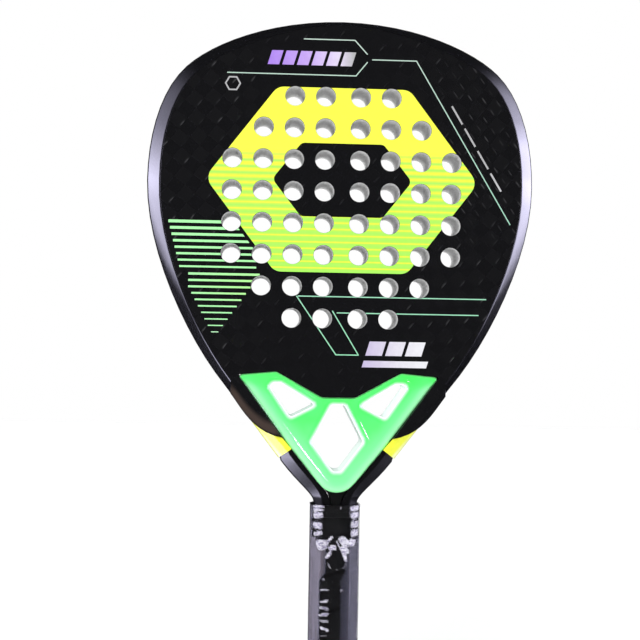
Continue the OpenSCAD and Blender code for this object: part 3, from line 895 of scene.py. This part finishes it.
# %% [markdown]
# ## Bands on the arms
# A thin yellow band wraps each arm between the lip and the neck. It is a layer of paint or a sleeve, so
# it follows the arm exactly; only its shading is made smooth.

# %% Bands
for side in ("left", "right"):
    band = copy_part(f"arm_band_{side}", f"band_{side}", flat=0)
    soften(band, 0, smooth=ARM_SMOOTH)
    hand_over(band, "yellow_gloss", YELLOW_PAINT, f"arm_band_{side}")

# %% [markdown]
# ## Handle
# The handle is an octagonal sleeve of plastic over the two legs of the frame. A cushioned grip is wound
# round it in a spiral, and later a film goes over the grip. Each of the two is made from a block whose
# four upright edges are cut back to an octagon, which is then divided finely enough to shape.


# %% An octagonal sleeve
CORNER_SHARE = 0.47


def pick(piece, mode, wanted):
    """Goes into edit mode and selects the edges or faces for which wanted(item) is true."""
    only(piece)
    bpy.context.tool_settings.mesh_select_mode = (False, mode == "EDGE", mode == "FACE")
    bpy.ops.object.mode_set(mode="EDIT")
    bpy.ops.mesh.select_all(action="DESELECT")
    mesh = bmesh.from_edit_mesh(piece.data)
    for item in (mesh.edges if mode == "EDGE" else mesh.faces):
        if wanted(item):
            item.select_set(True)
    bmesh.update_edit_mesh(piece.data)


def upright(edge):
    a, b = (v.co for v in edge.verts)
    return abs(a.z - b.z) > 0.9 * (a - b).length


def octagon_sleeve(name, half_x, half_y, low, high, rows, columns):
    bpy.ops.object.select_all(action="DESELECT")
    bpy.ops.mesh.primitive_cube_add(size=1, location=(0, 0, (low + high) / 2))
    piece = bpy.context.object
    piece.name = piece.data.name = name
    piece.scale = (2 * half_x, 2 * half_y, high - low)
    bpy.ops.object.transform_apply(location=True, rotation=True, scale=True)
    pick(piece, "EDGE", upright)
    bpy.ops.mesh.bevel(offset=CORNER_SHARE * (half_x + half_y) / 2, segments=1, affect="EDGES")
    bpy.ops.object.mode_set(mode="OBJECT")
    pick(piece, "FACE", lambda face: abs(face.normal.z) > 0.9)
    bpy.ops.mesh.delete(type="FACE")
    bpy.ops.object.mode_set(mode="OBJECT")
    pick(piece, "EDGE", upright)
    bpy.ops.mesh.subdivide(number_cuts=rows - 1)
    bpy.ops.object.mode_set(mode="OBJECT")
    pick(piece, "EDGE", lambda edge: not upright(edge))
    bpy.ops.mesh.subdivide(number_cuts=columns - 1)
    bpy.ops.object.mode_set(mode="OBJECT")
    return piece


def thicken(piece, thickness):
    wall = piece.modifiers.new("wall", "SOLIDIFY")
    wall.thickness = thickness
    wall.offset = -1
    only(piece)
    bpy.ops.object.modifier_apply(modifier=wall.name)


# %% [markdown]
# The grip is a soft strip wound upwards with an overlap. A real spiral strip would need its ends tucked
# away, so one sleeve is shaped instead: every point moves in by how far it is across the strip.

# %% Spiral-wound grip
GRIP_LOW, GRIP_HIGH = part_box("grip")
FILM_ROOM = 0.0004       # the grip and its tape are drawn this much tighter, to clear the film over them
WRAP_PITCH = 0.024
WRAP_STEP = 0.0007
LAP = 0.08               # share of the pitch over which the strip steps down at its edge
GRIP_WALL = 0.0012
grip_wrap = octagon_sleeve("grip_wrap", GRIP_HIGH.x - FILM_ROOM, GRIP_HIGH.y - FILM_ROOM,
                           GRIP_LOW.z, GRIP_HIGH.z, rows=105, columns=8)
points = coordinates(grip_wrap)
around = np.arctan2(points[:, 1], points[:, 0]) / (2 * math.pi)
turn_at = np.mod((points[:, 2] - GRIP_LOW.z) / WRAP_PITCH - around, 1.0)
# Each turn lies on the one below: a quick step down at its edge and a slow rise across its width.
step = np.where(turn_at < LAP, 1 - turn_at / LAP, (turn_at - LAP) / (1 - LAP) * 0.55)
seam = np.exp(-((turn_at - LAP) / 0.035) ** 2)
shrink = WRAP_STEP * (0.9 - step * 0.8) + WRAP_STEP * 0.5 * seam
reach = np.linalg.norm(points[:, :2], axis=1)
points[:, :2] *= ((reach - shrink) / reach)[:, None]
put_coordinates(grip_wrap, points)
put_attribute(grip_wrap, "seam", seam)
thicken(grip_wrap, GRIP_WALL)
bpy.ops.object.shade_smooth_by_angle(angle=math.radians(50))
print("turns of the grip:", round((GRIP_HIGH.z - GRIP_LOW.z) / WRAP_PITCH, 1))


# %% Grip rubber
def make_grip():
    material, tree, shader, place = finish("cushioned_grip", (0.013, 0.013, 0.014), 0.75, specular=0.12)
    grain = noise_of(tree, place, 1800, 3.0, 0.6)
    feed(tree, shader.inputs["Normal"], bump_of(tree, grain, 0.00012, 0.7))
    dust = between(tree, noise_of(tree, place, 90, 3.0), 0.4, 0.7)
    dusty = blend(tree, dust, (0.008, 0.008, 0.009), (0.013, 0.013, 0.014))
    # Painted shade: the seam where each turn steps down onto the one below is darker.
    seam_shaded = blend(tree, attribute_of(tree, "seam"), dusty, (0.004, 0.004, 0.004))
    feed(tree, shader.inputs["Base Color"], seam_shaded)
    return material


GRIP_RUBBER = make_grip()
hand_over(grip_wrap, "grip_black", GRIP_RUBBER, "grip")

# %% [markdown]
# Elastic tape holds the grip's upper end, and a rubber cap closes the handle's lower end. Tape has fine
# ribs across it, where its threads are gathered, and moulded rubber has a fine, even grain with worn,
# shinier patches.

# %% Finishing tape
TAPE_RIB, TAPE_EDGE = 0.0011, 0.0004
tape = copy_part("finishing_tape", "end_tape")
points = coordinates(tape)
reach = np.linalg.norm(points[:, :2], axis=1)
points[:, :2] *= ((reach - FILM_ROOM) / reach)[:, None]
put_coordinates(tape, points)
soften(tape, TAPE_EDGE)


def make_tape():
    material, tree, shader, place = finish("elastic_tape", (0.012, 0.012, 0.013), 0.45, specular=0.4)
    _, _, z = split(tree, place)
    ribs = maths(tree, "SINE", times(tree, z, 2 * math.pi / TAPE_RIB))
    feed(tree, shader.inputs["Normal"], bump_of(tree, ribs, 0.00008, 0.6))
    patches = noise_of(tree, place, 150, 2.0)
    feed(tree, shader.inputs["Roughness"], ramp(tree, patches, [(0.3, 0.38), (0.7, 0.55)]))
    return material


hand_over(tape, "tape_black", make_tape(), "finishing_tape")

# %% Butt cap
CAP_EDGE = 0.0008
cap = copy_part("butt_cap", "end_cap")
soften(cap, CAP_EDGE, segments=3)


def make_cap_rubber():
    material, tree, shader, place = finish("cap_rubber", (0.02, 0.02, 0.021), 0.55, specular=0.4)
    feed(tree, shader.inputs["Normal"], bump_of(tree, noise_of(tree, place, 2200, 2.0), 0.00006, 0.8))
    patches = noise_of(tree, place, 120, 3.0)
    feed(tree, shader.inputs["Roughness"], ramp(tree, patches, [(0.3, 0.48), (0.7, 0.68)]))
    return material


hand_over(cap, "cap_rubber", make_cap_rubber(), "butt_cap")

# %% [markdown]
# ## Inner parts
# The sleeve, the filler between the legs, the bladder and the bridge's foam are seen only when the racket
# is taken apart. Their CAD shapes are right, and their plastics differ in colour and shine.


# %% Inner parts
def make_moulded(name, colour, rough_low, rough_high):
    material, tree, shader, place = finish(name, colour, rough_low)
    patches = noise_of(tree, place, 200, 2.0)
    feed(tree, shader.inputs["Roughness"], ramp(tree, patches, [(0.3, rough_low), (0.7, rough_high)]))
    feed(tree, shader.inputs["Normal"], bump_of(tree, noise_of(tree, place, 2600, 1.0), 0.00003, 0.6))
    return material


paint_part("handle_shell", make_moulded("handle_sleeve", (0.02, 0.02, 0.022), 0.4, 0.6))
paint_part("frame_bladder", make_moulded("bladder_film", (0.7, 0.67, 0.58), 0.3, 0.45))
paint_part("handle_filler", make_moulded("sealed_filler", (0.008, 0.008, 0.009), 0.35, 0.55))
paint_part("bridge_foam", BRIDGE_FOAM)

# %% [markdown]
# ## Protective film
# A new racket's handle comes in clear shrink film. It lies tight on the flats, gathers in stacked folds at
# the top corners, and is drawn into a V above a twist in the middle of the front. Folded film turns from
# clear to milky, so each fold raises the sheet and also writes how milky it is, for the material to read.

# %% Folds of the film
FILM_LOW, FILM_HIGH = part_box("shrink_film")
GATHER = 0.0004
FILM_WALL = 0.00008
# Each fold is (x, distance below the top edge, half width, half height, turn in degrees, milkiness), in mm.
FRONT_FOLDS = [
    (-11.4, 1.1, 3.8, 1.2, 3, 1.0), (-11.6, 3.6, 3.7, 0.9, 4, 0.95), (-11.6, 7.1, 3.5, 2.1, 8, 0.8),
    (-12.0, 13.8, 3.3, 2.4, -6, 0.8), (-11.6, 19.2, 3.3, 1.5, 24, 0.75),
    (12.5, 2.1, 3.4, 1.9, -3, 1.0), (12.8, 6.9, 3.1, 2.3, 2, 0.85), (12.7, 12.9, 3.0, 2.7, -10, 0.65),
    (12.7, 18.9, 2.9, 2.5, 6, 0.8), (11.0, 25.0, 2.6, 2.6, -20, 0.85),
    (-8.9, 26.4, 3.8, 3.6, 16, 0.8), (-4.6, 24.0, 0.8, 4.6, -38, 1.0), (-2.0, 28.4, 2.7, 1.9, 14, 0.95),
    (-4.7, 33.4, 1.1, 3.0, -34, 1.0), (5.4, 24.6, 2.4, 4.6, 34, 0.9), (8.2, 24.0, 1.0, 4.6, 50, 1.0),
    (6.3, 29.6, 2.4, 3.4, 30, 1.0), (6.3, 34.2, 1.2, 3.3, 16, 1.0), (2.9, 28.4, 0.6, 6.2, 26, 0.7),
    (6.6, 39.6, 0.4, 4.3, -38, 0.5), (2.2, 43.2, 2.0, 0.45, -8, 0.45), (-3.9, 40.4, 0.55, 2.8, 30, 0.5),
    (-7.6, 49.4, 1.0, 1.2, 0, 0.5), (-6.8, 56.2, 3.0, 0.55, -4, 0.7), (-6.8, 63.6, 3.2, 0.7, 4, 0.85),
    (-6.8, 68.4, 3.8, 1.3, -8, 0.5), (-7.0, 72.6, 3.9, 1.0, 10, 0.85), (-6.8, 76.8, 3.4, 1.1, -6, 0.45),
    (-6.6, 82.0, 3.4, 0.9, -18, 0.9), (-7.2, 86.4, 2.6, 0.8, 8, 0.35), (-7.0, 92.0, 2.6, 0.7, -8, 0.3),
    (3.3, 1.6, 0.4, 1.5, 0, 0.5), (-2.0, 2.9, 6.0, 0.3, 0, 0.4), (4.6, 56.4, 1.2, 1.0, 20, 0.5),
]


def fold(x, depth, entry):
    """The soft mask of one fold, 1 inside it."""
    middle_x, middle_depth, half_w, half_h, degrees, milk = entry
    c, s = math.cos(math.radians(degrees)), math.sin(math.radians(degrees))
    dx, dz = x - middle_x, middle_depth - depth
    along = (dx * c + dz * s) / half_w
    across = (dz * c - dx * s) / half_h
    out = (along ** 4 + across ** 4) ** 0.25
    return 1 - smooth_step(out, 0.72, 1.12), milk


film = octagon_sleeve("handle_film", FILM_HIGH.x - GATHER, FILM_HIGH.y - GATHER,
                      FILM_LOW.z, FILM_HIGH.z, rows=200, columns=18)
points = coordinates(film)
x_mm, y_mm = points[:, 0] / MM, points[:, 1] / MM
depth_mm = (FILM_HIGH.z - points[:, 2]) / MM
milky = np.zeros(len(points))
raised = np.zeros(len(points))


def lay_fold(across, depth, entry, allowed, milk_share=1.0):
    """Raises one fold on the part of the film that is allowed, and makes it milky."""
    mask, milk = fold(across, depth, entry)
    mask = mask * allowed
    np.maximum(milky, mask * milk * milk_share, out=milky)
    np.maximum(raised, mask, out=raised)


for entry in FRONT_FOLDS:
    lay_fold(x_mm, depth_mm, entry, y_mm < -2)
# The back has the same gathered corners, turned over, and ladders of small folds on the side flats.
CORNER_FOLDS = FRONT_FOLDS[:10]
for entry in CORNER_FOLDS:
    lay_fold(-x_mm, depth_mm * 0.9, entry, y_mm > 2, 0.8)
RUNGS, RUNG_STEP = 13, 7.3
for side, first in ((-1, 8.0), (1, 16.0)):
    for k in range(RUNGS):
        rung = first + k * RUNG_STEP + 1.9 * math.sin(k * 2.4 + side)
        entry = (1.5 * math.sin(k * 1.7), rung, 3.6, 0.7, 9 * math.sin(k * 3.1), 0.55)
        lay_fold(y_mm, depth_mm, entry, side * x_mm > 15)
print("folds:", len(FRONT_FOLDS) + len(CORNER_FOLDS) + 2 * RUNGS)

# %% [markdown]
# Between the folds the film still isn't smooth: long ripples run down it, its top edge flares a little and
# is cut unevenly. Over the bevels the film gets a grey painted reflection of the soft boxes, stronger on the
# left than on the right and also on the back's bevels, while its middle stays clear.

# %% Shape the film
FOLD_LIFT = 0.8 * GATHER
RIPPLE, FLARE, RAGGED = 0.00006, 0.00025, 0.0006
ripple = np.sin(x_mm * 2.3 + 0.7 * np.sin(depth_mm * 0.11))
ripple += np.sin(x_mm * 3.9 + y_mm * 2.1 + depth_mm * 0.05)
outward = points[:, :2] / np.linalg.norm(points[:, :2], axis=1)[:, None]
lift = raised * FOLD_LIFT + ripple * RIPPLE + FLARE * near(depth_mm, 0.0, 2.5)
points[:, :2] += outward * lift[:, None]
ragged = RAGGED * (np.sin(x_mm * 1.3) + np.sin(y_mm * 1.9 + 1.0) * 0.6) * near(depth_mm, 0.0, 2.0)
points[:, 2] -= np.abs(ragged)
put_coordinates(film, points)
# The clear strip narrows where the film is drawn into the V, and widens again below it.
drawn = smooth_step(depth_mm, 21.0, 25.0)
released = smooth_step(depth_mm, 44.0, 50.0)
left_edge = -15.8 + 9.3 * drawn - 3.8 * released
right_edge = 16.2 - 10.0 * drawn - 2.2 * released
# Painted reflection on the bevels: strong on the left, weaker with two brighter lines on the right, even on
# the back.
painted_glare = 0.75 * near(x_mm, left_edge - 0.9, left_edge + 0.9)
right_glare = 0.3 + 0.14 * np.exp(-((x_mm - 9.5) / 1.6) ** 2) + 0.1 * np.exp(-((x_mm - 13.5) / 0.8) ** 2)
painted_glare = np.maximum(painted_glare, smooth_step(x_mm, right_edge - 0.9, right_edge + 0.9) * right_glare)
back_glare = 0.5 * smooth_step(np.abs(x_mm), 8.0, 10.0) * (0.6 + 0.4 * drawn)
put_attribute(film, "milky", milky)
put_attribute(film, "painted_glare", np.where(y_mm < 3, painted_glare, back_glare))
thicken(film, FILM_WALL)
bpy.ops.object.shade_smooth_by_angle(angle=math.radians(60))
print("most that a fold stands proud in mm:", round(float((raised * FOLD_LIFT).max() / MM), 2))

# %% [markdown]
# Clear film is mostly a gloss: its alpha is low where it lies single, higher in the grey strips of painted
# reflection, and nearly full in the folds, which are milky white with painted light and shade over their
# crumples. Streaks along the handle come from the way it was drawn.


# %% Clear film
CLEAREST, MILKIEST = 0.08, 0.92
FOLD_SHADE, FOLD_MILK_AND_HIGHLIGHT = (0.26, 0.235, 0.36), (0.74, 0.72, 0.82)


def make_film():
    material, tree, shader, place = finish("clear_film", (0.01, 0.01, 0.012), 0.15, specular=0.2)
    x, y, z = split(tree, place)
    milk = attribute_of(tree, "milky")
    streaks = noise_of(tree, joined(tree, x, y, times(tree, z, 0.04)), 420, 3.0, 0.6)
    crumple = noise_of(tree, joined(tree, times(tree, x, 0.7), y, times(tree, z, 1.6)), 640, 3.0, 0.6)
    # Painted reflection on the bevels, grey and partly opaque.
    painted_glare = times(tree, attribute_of(tree, "painted_glare"), ramp(tree, streaks, [(0.3, 0.8), (0.7, 1.0)]))
    # The folds' milky white gets painted light and shade from the crumple noise.
    white = blend(tree, between(tree, crumple, 0.36, 0.6), FOLD_SHADE, FOLD_MILK_AND_HIGHLIGHT)
    grey = ramp(tree, painted_glare, [(0.0, (0.004, 0.004, 0.005)), (0.15, (0.05, 0.048, 0.075)),
                             (0.35, (0.1, 0.097, 0.145)), (0.75, (0.15, 0.132, 0.165))])
    feed(tree, shader.inputs["Base Color"], blend(tree, between(tree, milk, 0.1, 0.5), grey, white))
    clear = maths(tree, "MAXIMUM", painted_glare, CLEAREST)
    feed(tree, shader.inputs["Alpha"], maths(tree, "MAXIMUM", clear, times(tree, milk, MILKIEST)))
    wrinkles = maths(tree, "ADD", streaks, times(tree, crumple, milk))
    feed(tree, shader.inputs["Normal"], bump_of(tree, wrinkles, 0.0002, 0.35))
    return material


hand_over(film, "clear_film", make_film(), "shrink_film")
